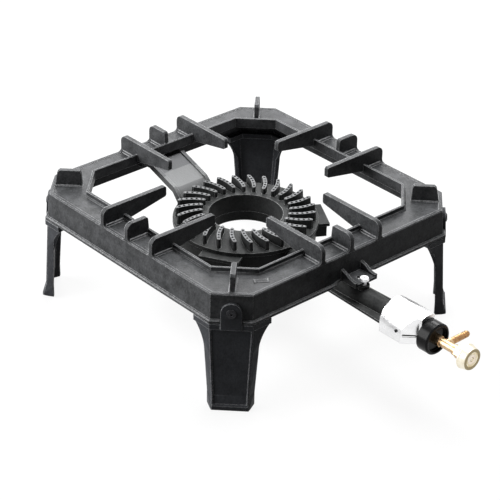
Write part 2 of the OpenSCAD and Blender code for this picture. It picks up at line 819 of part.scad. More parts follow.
module burner_body() {
    mouth_bore_r = throat_bore_r + 4;
    trough_bore_r = tube_r - 4;
    color("darkslategray")
        difference() {
            union() {
                rotate_extrude($fn = 128)
                    polygon([[hole_r, body_z], [body_r - 4, body_z], [body_r, body_z + 4], [body_r, rim_z],
                        [trough_r, rim_z], [trough_r, body_z + body_t], [inner_wall_r, body_z + body_t],
                        [inner_wall_r, inner_seat_z], [hole_r, inner_seat_z]]);
                difference() {
                    union() {
                        rear_arm();
                        side_lug(210);
                        side_lug(330);
                        // The tapering tube and its bell mouth
                        tube_turn([[0, trough_r - 6], [tube_r, trough_r - 6], [tube_r - 0.8, waist_s],
                            [throat_r, throat_s], [throat_r + 0.8, throat_s + 8], [tube_r, mouth_s - 5],
                            [tube_r, mouth_s], [0, mouth_s]]);
                        // The rails that the shutter slides on
                        translate([0, 0, rail_z - rail_t])
                            linear_extrude(rail_t)
                                rail_plan();
                        // The boss under the clamp lug
                        translate([0, -clamp_s, tube_z])
                            cylinder(h = lug_z - lug_t - tube_z, r = clamp_d + 1);
                        // The hub that the drum fits on
                        tube_bar(hub_r, hub_back_s, web_s - drum_web - fit);
                    }
                    // The trough stays clear of everything that joins the body
                    translate([0, 0, body_z + body_t])
                        cylinder(h = body_h, r = trough_r, $fn = 128);
                    // and below the cap's edge
                    translate([0, 0, rim_z])
                        cylinder(h = cap_t + 4, r = cap_r + fit, $fn = 128);
                }
            }
            // The gas way from the mouth to the trough
            tube_turn([[0, trough_r - 2 * body_t], [trough_bore_r, trough_r - 2 * body_t],
                [trough_bore_r - 0.5, waist_s], [throat_bore_r, throat_s], [throat_bore_r, throat_s + 6], [mouth_bore_r, mouth_s],
                [mouth_bore_r, mouth_s + 1], [0, mouth_s + 1]]);
            // The air gap between the mouth and the hub
            translate([-tube_r, -hub_back_s, tube_z - rail_t - 1])
                cube([2 * tube_r, hub_back_s - mouth_s, rail_t + 2]);
            tube_bar(nose_d / 2 + fit, hub_back_s - 1, web_s);
            translate([0, -clamp_s, lug_z - lug_t - clamp_grip - 2 * fit])
                cylinder(h = clamp_grip + lug_t, d = clamp_d + 2 * fit);
            on_cap_screws()
                translate([0, 0, body_z - 1])
                    cylinder(h = body_t + 2, d = cap_screw_d + 2 * bolt_gap);
        }
}

// Centre of the arc that a rib follows, when its inner end lies on +X
rib_centre = [rib_start_r - rib_arc_r * sin(rib_lead), rib_arc_r * cos(rib_lead)];

// A point on that arc, as an angle along it
function rib_point(along) = [rib_centre[0] + rib_arc_r * sin(rib_lead + along),
    rib_centre[1] - rib_arc_r * cos(rib_lead + along)];

// One swept rib with drafted sides and round ends
module rib() {
    base_z = cap_z - 2;
    h = rib_top_z - base_z;
    foot = rib_w / 2 + rib_draft * h;
    end_ease = 0.25;
    translate([rib_centre[0], rib_centre[1], base_z])
        rotate([0, 0, rib_lead - 90])
            rotate_extrude(angle = rib_arc)
                polygon([[rib_arc_r - foot, 0], [rib_arc_r + foot, 0],
                    [rib_arc_r + rib_w / 2, h], [rib_arc_r - rib_w / 2, h]]);
    for (along = [0, rib_arc])
        translate([rib_point(along)[0], rib_point(along)[1], base_z])
            cylinder(h = h - end_ease, r1 = foot - end_ease, r2 = rib_w / 2 - end_ease, $fn = 32);
}

module burner_cap() {
    lip_t = 4;
    color("darkslategray")
        difference() {
            union() {
                rotate_extrude($fn = 128)
                    polygon([[hole_r, inner_seat_z], [hole_r, cap_z + cap_rise],
                        [inner_wall_r, cap_z + cap_rise - 0.3], [cap_r, cap_z], [cap_r, rim_z],
                        [trough_r - fit, rim_z], [trough_r - fit, rim_z - 4],
                        [trough_r - fit - lip_t, rim_z - 4], [inner_wall_r, rim_z - 4],
                        [inner_wall_r, inner_seat_z]]);
                for (k = [0 : rib_n - 1])
                    rotate([0, 0, rib_turn + k * 360 / rib_n])
                        rib();
            }
            // The gas space under the cap
            rotate_extrude($fn = 128)
                polygon([[inner_wall_r, rim_z - 5], [inner_wall_r, ceiling_z],
                    [trough_r - fit - lip_t, ceiling_z], [trough_r - fit - lip_t, rim_z - 5]]);
            for (k = [0 : rib_n - 1])
                rotate([0, 0, rib_turn + k * 360 / rib_n])
                    for (p = [0 : port_n - 1])
                        translate([each rib_point(rib_arc * (p + 0.5) / port_n), rim_z - 1])
                            cylinder(h = rib_top_z - rim_z + 2, d = port_d, $fn = 16);
        }
    // The bosses that take the cap screws
    color("darkslategray")
        on_cap_screws()
            difference() {
                translate([0, 0, body_z + body_t])
                    cylinder(h = ceiling_z + 1 - body_z - body_t, r = boss_r);
                translate([0, 0, body_z])
                    cylinder(h = cap_screw_l + 4 * fit, d = cap_screw_d + 2 * fit);
            }
}

module cap_screws() {
    color("silver")
        on_cap_screws() {
            translate([0, 0, body_z - cap_screw_d * 0.6])
                cylinder(h = cap_screw_d * 0.6, d = cap_screw_d * 1.8);
            translate([0, 0, body_z - eps])
                cylinder(h = cap_screw_l, d = cap_screw_d);
        }
}

module clamp_screw() {
    head_h = clamp_d * 0.55;
    color("silver")
        translate([0, -clamp_s, 0])
            difference() {
                union() {
                    translate([0, 0, lug_z - lug_t - clamp_grip])
                        cylinder(h = lug_t + clamp_grip + eps, d = clamp_d);
                    translate([0, 0, lug_z])
                        cylinder(h = head_h, d1 = clamp_d * 2, d2 = clamp_d * 1.7);
                }
                for (turn = [0, 90])
                    rotate([0, 0, turn])
                        translate([-clamp_d / 2, -0.5, lug_z + head_h - 1.4])
                            cube([clamp_d, 1, 2]);
            }
}

// --- Air shutter ---

// Cross-section of the hood, moved in by inset
module hood_outline(inset) {
    r = shutter_r - inset;
    circle(r, $fn = 96);
    translate([-r, -shutter_side - (inset > 0 ? 1 : 0)])
        square([2 * r, shutter_side + (inset > 0 ? 1 : 0)]);
}

// Plan of the hood, with its nipped front corners, moved in by inset
module hood_plan(inset) {
    x = shutter_r - inset;
    neck_x = shutter_r - shutter_nip_x - inset * 0.41;
    front = shutter_front_s - inset;
    nip = shutter_front_s - shutter_nip_s - inset * 0.41;
    back = shutter_back_s - (inset > 0 ? 1 : 0);
    polygon([[-x, -back], [-x, -nip], [-neck_x, -nip - x + neck_x], [-neck_x, -front],
        [neck_x, -front], [neck_x, -nip - x + neck_x], [x, -nip], [x, -back]]);
}

module hood(inset) {
    intersection() {
        translate([0, -shutter_back_s + 1, tube_z])
            rotate([90, 0, 0])
                linear_extrude(shutter_l + 2)
                    intersection() {
                        hood_outline(inset);
                        translate([-50, -shutter_side - (inset > 0 ? 1 : 0)])
                            square([100, 100]);
                    }
        translate([0, 0, tube_z - 40])
            linear_extrude(80)
                hood_plan(inset);
    }
}

module air_shutter() {
    rail_slot = rail_t + 2 * slide_gap;
    color("white")
        difference() {
            hood(0);
            hood(sheet_t);
            // The front clears the hub and the rails
            tube_bar(hub_r + 2 * slide_gap, shutter_front_s - 8, shutter_front_s + 5);
            translate([-rail_w / 2 - slide_gap, -shutter_front_s - 1, rail_z - rail_t - slide_gap])
                cube([rail_w + 2 * slide_gap, shutter_nip_s + 4, rail_slot]);
            for (side = [-1, 1])
                translate([side * (shutter_r + 1), -pin_s, pin_z])
                    rotate([0, -side * 90, 0])
                        cylinder(h = 4, d = pin_d + 2 * fit, $fn = 24);
        }
}

module shutter_pins() {
    head_t = 0.8;
    color("silver")
        for (side = [-1, 1])
            translate([side * (shutter_r + head_t), -pin_s, pin_z])
                rotate([0, -side * 90, 0]) {
                    cylinder(h = head_t, d = pin_d * 1.7, $fn = 24);
                    cylinder(h = head_t + sheet_t + slide_gap + 2, d = pin_d, $fn = 24);
                }
}

// --- Drum and valve ---

module end_drum() {
    r = drum_d / 2;
    inner = r - drum_t;
    back_s = web_s - drum_web;
    color("black")
        tube_turn([[nose_d / 2 + fit, back_s], [hub_r + fit, back_s], [hub_r + fit, drum_s],
            [r - 1, drum_s], [r, drum_s + 1], [r, drum_face_s - 1.5], [r - 1.5, drum_face_s],
            [inner, drum_face_s], [inner, web_s], [nose_d / 2 + fit, web_s]]);
}

module valve_body() {
    r = valve_d / 2;
    bore = spindle_d / 2 + run_gap;
    color("gold")
        difference() {
            union() {
                tube_bar(nose_d / 2, nose_s, web_s + eps);
                tube_hex(valve_af, web_s, hex_s);
                tube_turn([[0, hex_s - eps], [r, hex_s - eps], [r, body_end_s - 5],
                    [r + 1, body_end_s - 4], [r + 1, body_end_s], [0, body_end_s]]);
                translate([0, -barb_at_s, tube_z])
                    rotate([0, 90, 0])
                        cylinder(h = r + 2.5, r = barb_d / 2 + 1);
            }
            tube_bar(1.2, nose_s - 1, seat_s + 1);
            tube_bar(2.6, nose_s - 1, nose_s + 9);
            tube_bar(bore, seat_s, body_end_s + 1);
            tube_bar(spindle_d / 2 + 1.2, body_end_s - 5, body_end_s + 1);
            translate([0, -barb_at_s, tube_z])
                rotate([0, 90, 0])
                    cylinder(h = 20, r = barb_d / 2 - 1.2 + fit);
        }
}

module valve_lock_nut() {
    nut_l = 5.5;
    front_s = hub_back_s - fit;
    color("gold")
        difference() {
            tube_hex(nose_d * 1.6, front_s - nut_l, front_s);
            tube_bar(nose_d / 2 + fit, front_s - nut_l - 1, front_s + 1);
        }
}

module jet() {
    r = 4;
    color("gold")
        difference() {
            union() {
                tube_turn([[0, nose_s - 7], [1.6, nose_s - 7], [r - 0.6, nose_s - 4], [r, nose_s - 3],
                    [r, nose_s - fit / 2], [0, nose_s - fit / 2]]);
                tube_bar(2.5, nose_s - 1, nose_s + 7);
            }
            tube_bar(0.5, nose_s - 8, nose_s + 8);
            tube_bar(1.4, nose_s - 4, nose_s + 8);
        }
}

// The hose tail, with its inner end in the valve's side boss
module hose_barb() {
    r = barb_d / 2;
    seat_x = valve_d / 2 + 2.5;
    ridge = 3.4;
    first = barb_reach - 3 * ridge - 1;
    color("gold")
        translate([0, -barb_at_s, tube_z])
            rotate([0, 90, 0])
                rotate_extrude()
                    polygon([[1.8, spindle_d / 2 + 0.5], [r - 1.2, spindle_d / 2 + 0.5], [r - 1.2, seat_x + fit],
                        [r, seat_x + fit], [r, first],
                        for (k = [0 : 2]) each [[r - 0.7, first + k * ridge], [r - 0.7, first + k * ridge + 0.8],
                            [r, first + k * ridge + 1.4], [r, first + k * ridge + 1.8]],
                        [r - 1, barb_reach], [1.8, barb_reach]]);
}

module gland_nut() {
    tail_r = spindle_d / 2 + 1.2 - fit;
    color("gold")
        difference() {
            union() {
                tube_hex(gland_af, body_end_s + fit, gland_s);
                tube_bar(tail_r, body_end_s - 2.5, body_end_s + 1);
            }
            tube_bar(spindle_d / 2 + run_gap, body_end_s - 4, gland_s + 1);
        }
}

module gland_packing() {
    color("ivory")
        difference() {
            tube_bar(spindle_d / 2 + 1.2 - fit, body_end_s - 5 + fit, body_end_s - 2.5 - fit);
            tube_bar(spindle_d / 2 + run_gap, body_end_s - 6, body_end_s);
        }
}

module needle() {
    r = spindle_d / 2;
    color("gold")
        difference() {
            tube_turn([[0, seat_s + 0.3], [1, seat_s + 0.8], [1.9, seat_s + 3], [1.9, barb_at_s + 4],
                [r, barb_at_s + 5], [r, knob_s + knob_l - 5], [0, knob_s + knob_l - 5]]);
            tube_bar(1.25 + fit, knob_s + knob_l - 12, knob_s + knob_l);
        }
}

module knob() {
    r = knob_d / 2;
    face = knob_face_d / 2;
    front = knob_s + knob_l;
    hub = spindle_d / 2 + 2;
    color("wheat")
        difference() {
            tube_turn([[spindle_d / 2 + run_gap, knob_s], [hub + 1.5, knob_s], [hub + 1.5, knob_s + 2],
                [r - 0.8, knob_s + 2], [r, knob_s + 2.8], [r, knob_s + 4], [r - 0.6, knob_s + 5],
                [face + 0.8, front - 1.5], [face, front], [face - 3, front], [face - 4, front - 2.5],
                [hub + 2.5, front - 2.5], [hub + 1.5, front - 0.8], [2.8, front - 0.8],
                [2.8, front - 4.5], [spindle_d / 2 + run_gap, front - 4.5]]);
        }
}

module knob_screw() {
    front = knob_s + knob_l;
    color("silver")
        difference() {
            union() {
                tube_turn([[0, front - 4.4], [2.6, front - 4.4], [2.6, front - 2], [1.8, front - 1.2],
                    [0, front - 1.2]]);
                tube_bar(1.25, front - 11, front - 4);
            }
            translate([-3, -front - 1, tube_z - 0.3])
                cube([6, 3, 0.6]);
        }
}

frame();
leg_front_left();
leg_front_right();
leg_rear_left();
leg_rear_right();
leg_bolts();
leg_washers();
leg_nuts();
burner_body();
burner_cap();
cap_screws();
clamp_screw();
air_shutter();
shutter_pins();
end_drum();
valve_body();
valve_lock_nut();
jet();
hose_barb();
gland_nut();
gland_packing();
needle();
knob();
knob_screw();
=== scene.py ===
import math

import bmesh
import bpy
from mathutils import Matrix, Vector


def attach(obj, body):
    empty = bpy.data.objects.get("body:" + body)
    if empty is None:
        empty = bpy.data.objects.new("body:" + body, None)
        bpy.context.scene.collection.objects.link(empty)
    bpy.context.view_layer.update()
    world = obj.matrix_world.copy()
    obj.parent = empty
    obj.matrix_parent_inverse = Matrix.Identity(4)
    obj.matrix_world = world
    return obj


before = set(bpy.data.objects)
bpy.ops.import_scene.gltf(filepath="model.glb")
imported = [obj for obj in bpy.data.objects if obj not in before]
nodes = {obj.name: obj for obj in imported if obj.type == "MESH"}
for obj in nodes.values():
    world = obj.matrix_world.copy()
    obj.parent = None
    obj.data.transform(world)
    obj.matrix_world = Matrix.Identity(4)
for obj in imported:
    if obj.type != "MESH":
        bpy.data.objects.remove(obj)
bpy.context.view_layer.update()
print("stage: frame loaded")

# Metres in a millimetre
mm = 0.001
# Most values of a noise texture lie between these two
noiseLow, noiseHigh = 0.3, 0.7


def linearColour(hexText):
    raw = hexText.lstrip("#")
    channels = [int(raw[i:i + 2], 16) / 255 for i in (0, 2, 4)]
    return tuple(c / 12.92 if c <= 0.04045 else ((c + 0.055) / 1.055) ** 2.4 for c in channels) + (1.0,)


# settings are attributes or inputs by name or number, links are inputs to the socket that feeds them
def addNode(tree, kind, settings=None, links=None):
    node = tree.nodes.new(kind)
    for name, value in (settings or {}).items():
        if isinstance(name, str) and hasattr(node, name):
            setattr(node, name, value)
        else:
            node.inputs[name].default_value = value
    for name, socket in (links or {}).items():
        tree.links.new(socket, node.inputs[name])
    return node


def newMaterial(name):
    material = bpy.data.materials.new(name)
    material.use_nodes = True
    tree = material.node_tree
    tree.nodes.clear()
    output = addNode(tree, "ShaderNodeOutputMaterial")
    shader = addNode(tree, "ShaderNodeBsdfPrincipled")
    tree.links.new(shader.outputs["BSDF"], output.inputs["Surface"])
    return material, tree, shader


def setStops(ramp, stops):
    elements = ramp.color_ramp.elements
    elements[0].position, elements[0].color = stops[0]
    elements[1].position, elements[1].color = stops[-1]
    for position, colour in stops[1:-1]:
        elements.new(position).color = colour


# The normal of a surface whose sharp edges are rounded over edgeMm
def softNormal(tree, look):
    bevel = addNode(tree, "ShaderNodeBevel", {"samples": 6, "Radius": look["edgeMm"] * mm})
    return bevel.outputs["Normal"]


# Mask for the painted highlight along edges, which on iron also stands for rubbed wear: how far a rounded
# normal has turned from the flat face, by its cosine, 0 up to the start value and 1 from the full value
def edgeSheenAndWearMask(tree, look, normal):
    face = addNode(tree, "ShaderNodeNewGeometry")
    turn = addNode(tree, "ShaderNodeVectorMath", {"operation": "DOT_PRODUCT"},
                   {0: normal, 1: face.outputs["Normal"]})
    rub = addNode(tree, "ShaderNodeMapRange", {"From Min": look["sheenStart"], "From Max": look["sheenFull"]},
                  {"Value": turn.outputs["Value"]})
    return rub.outputs["Result"]


# Gives the shader its colour and roughness, and a fine relief over the rounded normal
def linkSurface(tree, shader, look, colour, roughness, height, normal):
    bump = addNode(tree, "ShaderNodeBump", {"Strength": look["relief"], "Distance": look["depthMm"] * mm},
                   {"Height": height, "Normal": normal})
    tree.links.new(colour, shader.inputs["Base Color"])
    tree.links.new(roughness, shader.inputs["Roughness"])
    tree.links.new(bump.outputs["Normal"], shader.inputs["Normal"])


# Grey iron cast in green sand, under brushed satin stove black: sand grain shows through as fine pimples,
# the rounded edges get a lighter colour that is partly rubbed wear and partly painted highlight, and the
# flats keep a broad dull shine.
# Moulding sand is under half a millimetre across, too fine to show, so it is drawn at grainMm
def castIron(name, look):
    material, tree, shader = newMaterial(name)
    place = addNode(tree, "ShaderNodeTexCoord").outputs["Object"]
    grain = addNode(tree, "ShaderNodeTexNoise",
                    {"Scale": 1 / (look["grainMm"] * mm), "Detail": 3.0, "Roughness": 0.6},
                    {"Vector": place})
    cloud = addNode(tree, "ShaderNodeTexNoise",
                    {"Scale": 1 / (look["cloudMm"] * mm), "Detail": 5.0, "Roughness": 0.6},
                    {"Vector": place})
    mottle = addNode(tree, "ShaderNodeMix", {"Factor": look["grainShare"]},
                     {2: cloud.outputs["Fac"], 3: grain.outputs["Fac"]})
    paint = addNode(tree, "ShaderNodeValToRGB", links={"Fac": mottle.outputs[0]})
    setStops(paint, [(look["darkStop"], linearColour(look["dark"])),
                     (look["lightStop"], linearColour(look["light"]))])
    # Painted sheen: behind a given distance along Y the iron is painted a light grey, standing in for the
    # light that the burner's arm catches
    apart = addNode(tree, "ShaderNodeSeparateXYZ", links={"Vector": place})
    behind = addNode(tree, "ShaderNodeMapRange",
                     {"From Min": look["armSheenFromMm"] * mm,
                      "From Max": (look["armSheenFromMm"] + look["armSheenStepMm"]) * mm},
                     {"Value": apart.outputs["Y"]})
    paintWithArmSheen = addNode(tree, "ShaderNodeMix", {"data_type": "RGBA", 7: linearColour(look["armSheen"])},
                   {"Factor": behind.outputs["Result"], 6: paint.outputs["Color"]})
    # Painted highlight: just under the height of the rib tops the crowns of the ribs are painted lighter
    ribTopSheen = addNode(tree, "ShaderNodeMapRange",
                    {"From Min": (look["ribTopMm"] - look["ribSheenStartMm"]) * mm,
                     "From Max": (look["ribTopMm"] - look["ribSheenFullMm"]) * mm},
                    {"Value": apart.outputs["Z"]})
    paintWithRibSheen = addNode(tree, "ShaderNodeMix", {"data_type": "RGBA", 7: linearColour(look["ribTopSheen"])},
                     {"Factor": ribTopSheen.outputs["Result"], 6: paintWithArmSheen.outputs[2]})
    # The painted highlight on the edges, partly rubbed wear, comes and goes with the grain
    normal = softNormal(tree, look)
    sheenAndWearPatch = addNode(tree, "ShaderNodeMapRange",
                    {"From Min": noiseLow, "From Max": look["patchFull"],
                     "To Min": look["sheenAndWear"] * look["leastSheenAndWear"], "To Max": look["sheenAndWear"]},
                    {"Value": grain.outputs["Fac"]})
    sheenAndWearMask = addNode(tree, "ShaderNodeMath", {"operation": "MULTIPLY"},
                   {0: edgeSheenAndWearMask(tree, look, normal), 1: sheenAndWearPatch.outputs["Result"]})
    colour = addNode(tree, "ShaderNodeMix", {"data_type": "RGBA", 7: linearColour(look["edge"])},
                     {"Factor": sheenAndWearMask.outputs[0], 6: paintWithRibSheen.outputs[2]})
    dull = addNode(tree, "ShaderNodeMapRange",
                   {"From Min": noiseLow, "From Max": noiseHigh,
                    "To Min": look["roughness"] - look["shinier"],
                    "To Max": look["roughness"] + look["duller"]}, {"Value": grain.outputs["Fac"]})
    linkSurface(tree, shader, look, colour.outputs[2], dull.outputs["Result"], grain.outputs["Fac"], normal)
    shader.inputs["Specular IOR Level"].default_value = look["gloss"]
    return material


# Rolled, pressed or turned steel, bare or plated: nearly even, with a slight change of tone and gloss.
# Its real marks are a few hundredths of a millimetre across and are drawn at patternMm to show
def plainSteel(name, look):
    material, tree, shader = newMaterial(name)
    place = addNode(tree, "ShaderNodeTexCoord").outputs["Object"]
    marks = addNode(tree, "ShaderNodeTexNoise",
                    {"Scale": 1 / (look["patternMm"] * mm), "Detail": 4.0}, {"Vector": place})
    tone = addNode(tree, "ShaderNodeValToRGB", links={"Fac": marks.outputs["Fac"]})
    setStops(tone, [(noiseLow, linearColour(look["dark"])), (noiseHigh, linearColour(look["light"]))])
    normal = softNormal(tree, look)
    # Painted highlight along the edges: the lighter edge colour is mixed in where the rounded normal turns
    colour = addNode(tree, "ShaderNodeMix", {"data_type": "RGBA", 7: linearColour(look["edge"])},
                     {"Factor": edgeSheenAndWearMask(tree, look, normal), 6: tone.outputs["Color"]})
    dull = addNode(tree, "ShaderNodeMapRange",
                   {"From Min": noiseLow, "From Max": noiseHigh, "To Min": look["roughness"],
                    "To Max": look["roughness"] + look["duller"]}, {"Value": marks.outputs["Fac"]})
    linkSurface(tree, shader, look, colour.outputs[2], dull.outputs["Result"], marks.outputs["Fac"], normal)
    shader.inputs["Metallic"].default_value = 1.0
    return material


# Free-cutting brass turned on a lathe, then lacquered: a warm clouded tan with fine rings along its axis
def turnedBrass(name, look):
    material, tree, shader = newMaterial(name)
    place = addNode(tree, "ShaderNodeTexCoord").outputs["Object"]
    # A band of the wave texture is 2 pi / 20 of its scale; rings of 0.1 mm feed are drawn at ringMm to show
    rings = addNode(tree, "ShaderNodeTexWave",
                    {"wave_type": "BANDS", "bands_direction": "Y", "Distortion": 0.3, "Detail": 1.0,
                     "Scale": 2 * math.pi / (20 * look["ringMm"] * mm)}, {"Vector": place})
    cloud = addNode(tree, "ShaderNodeTexNoise",
                    {"Scale": 1 / (look["cloudMm"] * mm), "Detail": 3.0}, {"Vector": place})
    tone = addNode(tree, "ShaderNodeValToRGB", links={"Fac": cloud.outputs["Fac"]})
    setStops(tone, [(noiseLow, linearColour(look["dark"])), (noiseHigh, linearColour(look["light"]))])
    # In front of faceMm the turned face is dished and painted in shade tones, darkest in the groove as
    # painted shade in the recess: rings of colour by their distance from the valve's axis
    centred = addNode(tree, "ShaderNodeMapping",
                      {"Location": (0, 0, -look["axisMm"] * mm), "Scale": (1, 0, 1)},
                      {"Vector": place})
    reach = addNode(tree, "ShaderNodeVectorMath", {"operation": "LENGTH"}, {0: centred.outputs["Vector"]})
    share = addNode(tree, "ShaderNodeMapRange", {"From Max": look["reachMm"] * mm},
                    {"Value": reach.outputs["Value"]})
    faceShadeRings = addNode(tree, "ShaderNodeValToRGB", links={"Fac": share.outputs["Result"]})
    centre, grooveShade, face = (linearColour(look[part]) for part in ("centre", "grooveShade", "face"))
    setStops(faceShadeRings, [(0.0, centre), (look["centreTo"], centre), (look["grooveFrom"], grooveShade),
                     (look["grooveTo"], grooveShade), (look["faceFrom"], face), (1.0, face)])
    apart = addNode(tree, "ShaderNodeSeparateXYZ", links={"Vector": place})
    front = addNode(tree, "ShaderNodeMapRange",
                    {"From Min": look["faceMm"] * mm, "From Max": look["faceFullMm"] * mm},
                    {"Value": apart.outputs["Y"]})
    colour = addNode(tree, "ShaderNodeMix", {"data_type": "RGBA"},
                     {"Factor": front.outputs["Result"], 6: tone.outputs["Color"],
                      7: faceShadeRings.outputs["Color"]})
    dull = addNode(tree, "ShaderNodeMapRange",
                   {"To Min": look["roughness"], "To Max": look["roughness"] + look["duller"]},
                   {"Value": rings.outputs["Fac"]})
    linkSurface(tree, shader, look, colour.outputs[2], dull.outputs["Result"], rings.outputs["Fac"],
                softNormal(tree, look))
    shader.inputs["Metallic"].default_value = 1.0
    return material


# Compression-moulded phenolic, or pressed PTFE: one colour all through, a slight haze and an even gloss
def mouldedPlastic(name, look):
    material, tree, shader = newMaterial(name)
    place = addNode(tree, "ShaderNodeTexCoord").outputs["Object"]
    haze = addNode(tree, "ShaderNodeTexNoise",
                   {"Scale": 1 / (look["hazeMm"] * mm), "Detail": 3.0}, {"Vector": place})
    tone = addNode(tree, "ShaderNodeValToRGB", links={"Fac": haze.outputs["Fac"]})
    setStops(tone, [(noiseLow, linearColour(look["dark"])), (noiseHigh, linearColour(look["light"]))])
    dull = addNode(tree, "ShaderNodeMapRange",
                   {"From Min": noiseLow, "From Max": noiseHigh, "To Min": look["roughness"],
                    "To Max": look["roughness"] + look["duller"]}, {"Value": haze.outputs["Fac"]})
    linkSurface(tree, shader, look, tone.outputs["Color"], dull.outputs["Result"], haze.outputs["Fac"],
                softNormal(tree, look))
    shader.inputs["Specular IOR Level"].default_value = look["gloss"]
    return material


# 900 mm lies beyond the stand, so the painted sheen on the arm and the painted highlight on the rib crowns
# show only in a look that gives them a place.
# A roughness runs from itself less "shinier" to itself plus "duller"
# The edge colours are a painted highlight along the edges, on iron partly rubbed wear
ironLook = {"dark": "#363738", "light": "#58595b", "edge": "#b8b9bb", "armSheen": "#9a9b9c",
            "ribTopSheen": "#7e7f81", "grainMm": 2.6, "depthMm": 0.55, "relief": 0.6, "cloudMm": 16,
            "grainShare": 0.42, "darkStop": 0.38, "lightStop": 0.64, "roughness": 0.37, "shinier": 0.05,
            "duller": 0.07, "gloss": 0.06, "edgeMm": 1.6, "sheenStart": 0.986, "sheenFull": 0.9, "sheenAndWear": 1.0,
            "leastSheenAndWear": 0.3, "patchFull": 0.62, "armSheenFromMm": 900.0, "armSheenStepMm": 14.0, "ribTopMm": 900.0,
            "ribSheenStartMm": 0.4, "ribSheenFullMm": 0.1}
steelLook = {"dark": "#c6c8cc", "light": "#e2e3e6", "edge": "#f2f2f3", "patternMm": 0.8, "depthMm": 0.02,
             "relief": 0.4, "roughness": 0.2, "duller": 0.08, "edgeMm": 0.4, "sheenStart": 0.97,
             "sheenFull": 0.75}
# centreTo, grooveFrom, grooveTo and faceFrom are shares of reachMm, out from the valve's axis
brassLook = {"dark": "#b08f6c", "light": "#d8bd98", "centre": "#b98d86", "grooveShade": "#5d4638",
             "face": "#948667", "ringMm": 0.6, "cloudMm": 5, "depthMm": 0.02, "relief": 0.2,
             "roughness": 0.24, "duller": 0.1, "edgeMm": 0.3, "axisMm": 98.5, "faceMm": -387.6,
             "faceFullMm": -388.0, "reachMm": 16.0, "centreTo": 0.36, "grooveFrom": 0.4, "grooveTo": 0.47,
             "faceFrom": 0.53}
plasticLook = {"dark": "#0a0a0b", "light": "#121213", "hazeMm": 3, "depthMm": 0.02, "relief": 0.3,
               "roughness": 0.18, "duller": 0.06, "gloss": 0.12, "edgeMm": 1.2}

looks = {
    "frame": castIron("satinStoveBlackFrame", ironLook),
    "rimFoot": castIron("satinStoveBlackHollow", {**ironLook, "sheenAndWear": 0.25}),
    "leg": castIron("satinStoveBlackLegs", {**ironLook, "dark": "#38393c", "light": "#4c4e52",
                                            "edge": "#bcbdc0", "edgeMm": 1.8}),
    "burner": castIron("burnerIronPaintedSheen", {**ironLook, "dark": "#2e2f2f", "light": "#464747",
                                           "edge": "#b6b7b7", "edgeMm": 1.1, "roughness": 0.42,
                                           "armSheenFromMm": 96.0, "ribTopMm": 129.5}),
    "ports": castIron("drilledPortEdge", {**ironLook, "dark": "#6a6b6c", "light": "#868787",
                                          "edge": "#9a9a9a", "edgeMm": 0.2, "grainMm": 0.8,
                                          "roughness": 0.35}),
    # A near-black surface for the port mouths: painted shade
    "portShade": castIron("portMouthPaintedShade", {**ironLook, "dark": "#0d0d0d", "light": "#171717",
                                         "edge": "#171717", "edgeMm": 0.1, "grainMm": 0.8}),
    "blackSteel": plainSteel("blackenedSteel", {**steelLook, "dark": "#1d1d1f", "light": "#2b2b2d",
                                                "edge": "#77787b", "roughness": 0.34}),
    "brightSteel": plainSteel("zincPlatedSteel", steelLook),
    "screwZinc": plainSteel("mattZincPlatedSteel", {**steelLook, "dark": "#e6e6e8", "light": "#f4f4f5",
                                                    "roughness": 0.5}),
    # 9 mm is the slow waviness of pressed sheet
    "chrome": plainSteel("brightPlatedSheet", {**steelLook, "dark": "#e9e9ea", "light": "#f7f7f8",
                                               "edge": "#ffffff", "edgeMm": 0.8, "patternMm": 9,
                                               "depthMm": 0.012}),
    "drum": mouldedPlastic("blackPhenolic", plasticLook),
    "brass": turnedBrass("turnedBrass", brassLook),
    # A darker copy of the same brass for the barb: painted shade on its undersides
    "barbBrassShaded": turnedBrass("brassPaintedShade", {**brassLook, "dark": "#8a6444", "light": "#c19a6e"}),
    # A near-white copy of the same brass for the knob: painted highlight on its flank
    "knobBrassLit": turnedBrass("brassPaintedLit", {**brassLook, "dark": "#ece2ca", "light": "#faf4e4"}),
    "packing": mouldedPlastic("whiteSealRing", {**plasticLook, "dark": "#d8d8d4", "light": "#eeeeea",
                                                "roughness": 0.5}),
}

nodeLook = {
    "frame": "frame", "leg_front_left": "leg", "leg_front_right": "leg",
    "leg_rear_left": "leg", "leg_rear_right": "leg",
    "leg_bolts": "blackSteel", "leg_washers": "blackSteel", "leg_nuts": "blackSteel",
    "burner_body": "burner", "burner_cap": "burner",
    "cap_screws": "brightSteel", "clamp_screw": "screwZinc",
    "air_shutter": "chrome", "shutter_pins": "blackSteel", "end_drum": "drum",
    "valve_body": "brass", "valve_lock_nut": "brass", "jet": "brass", "hose_barb": "barbBrassShaded",
    "gland_nut": "brass", "gland_packing": "packing", "needle": "brass",
    "knob": "knobBrassLit", "knob_screw": "knobBrassLit",
}
for name, look in nodeLook.items():
    nodes[name].data.materials.clear()
    nodes[name].data.materials.append(looks[look])
print("stage: materials on the CAD nodes")


# A geometry tree with one named input for each size; a key that ends in Mm or Deg is given in those units
def newTree(name, sizes):
    tree = bpy.data.node_groups.new(name, "GeometryNodeTree")
    for label, value in sizes.items():
        socketType = "NodeSocketInt" if isinstance(value, int) else "NodeSocketFloat"
        tree.interface.new_socket(label, in_out="INPUT", socket_type=socketType)
    tree.interface.new_socket("surface", in_out="INPUT", socket_type="NodeSocketMaterial")
    tree.interface.new_socket("Geometry", in_out="OUTPUT", socket_type="NodeSocketGeometry")
    return tree, tree.nodes.new("NodeGroupInput").outputs


# Makes the copies real, gives them the surface and ends the tree
def endTree(tree, given, last):
    whole = addNode(tree, "GeometryNodeRealizeInstances", links={"Geometry": last})
    dressed = addNode(tree, "GeometryNodeSetMaterial",
                      links={"Geometry": whole.outputs[0], "Material": given["surface"]})
    addNode(tree, "NodeGroupOutput", links={"Geometry": dressed.outputs[0]})


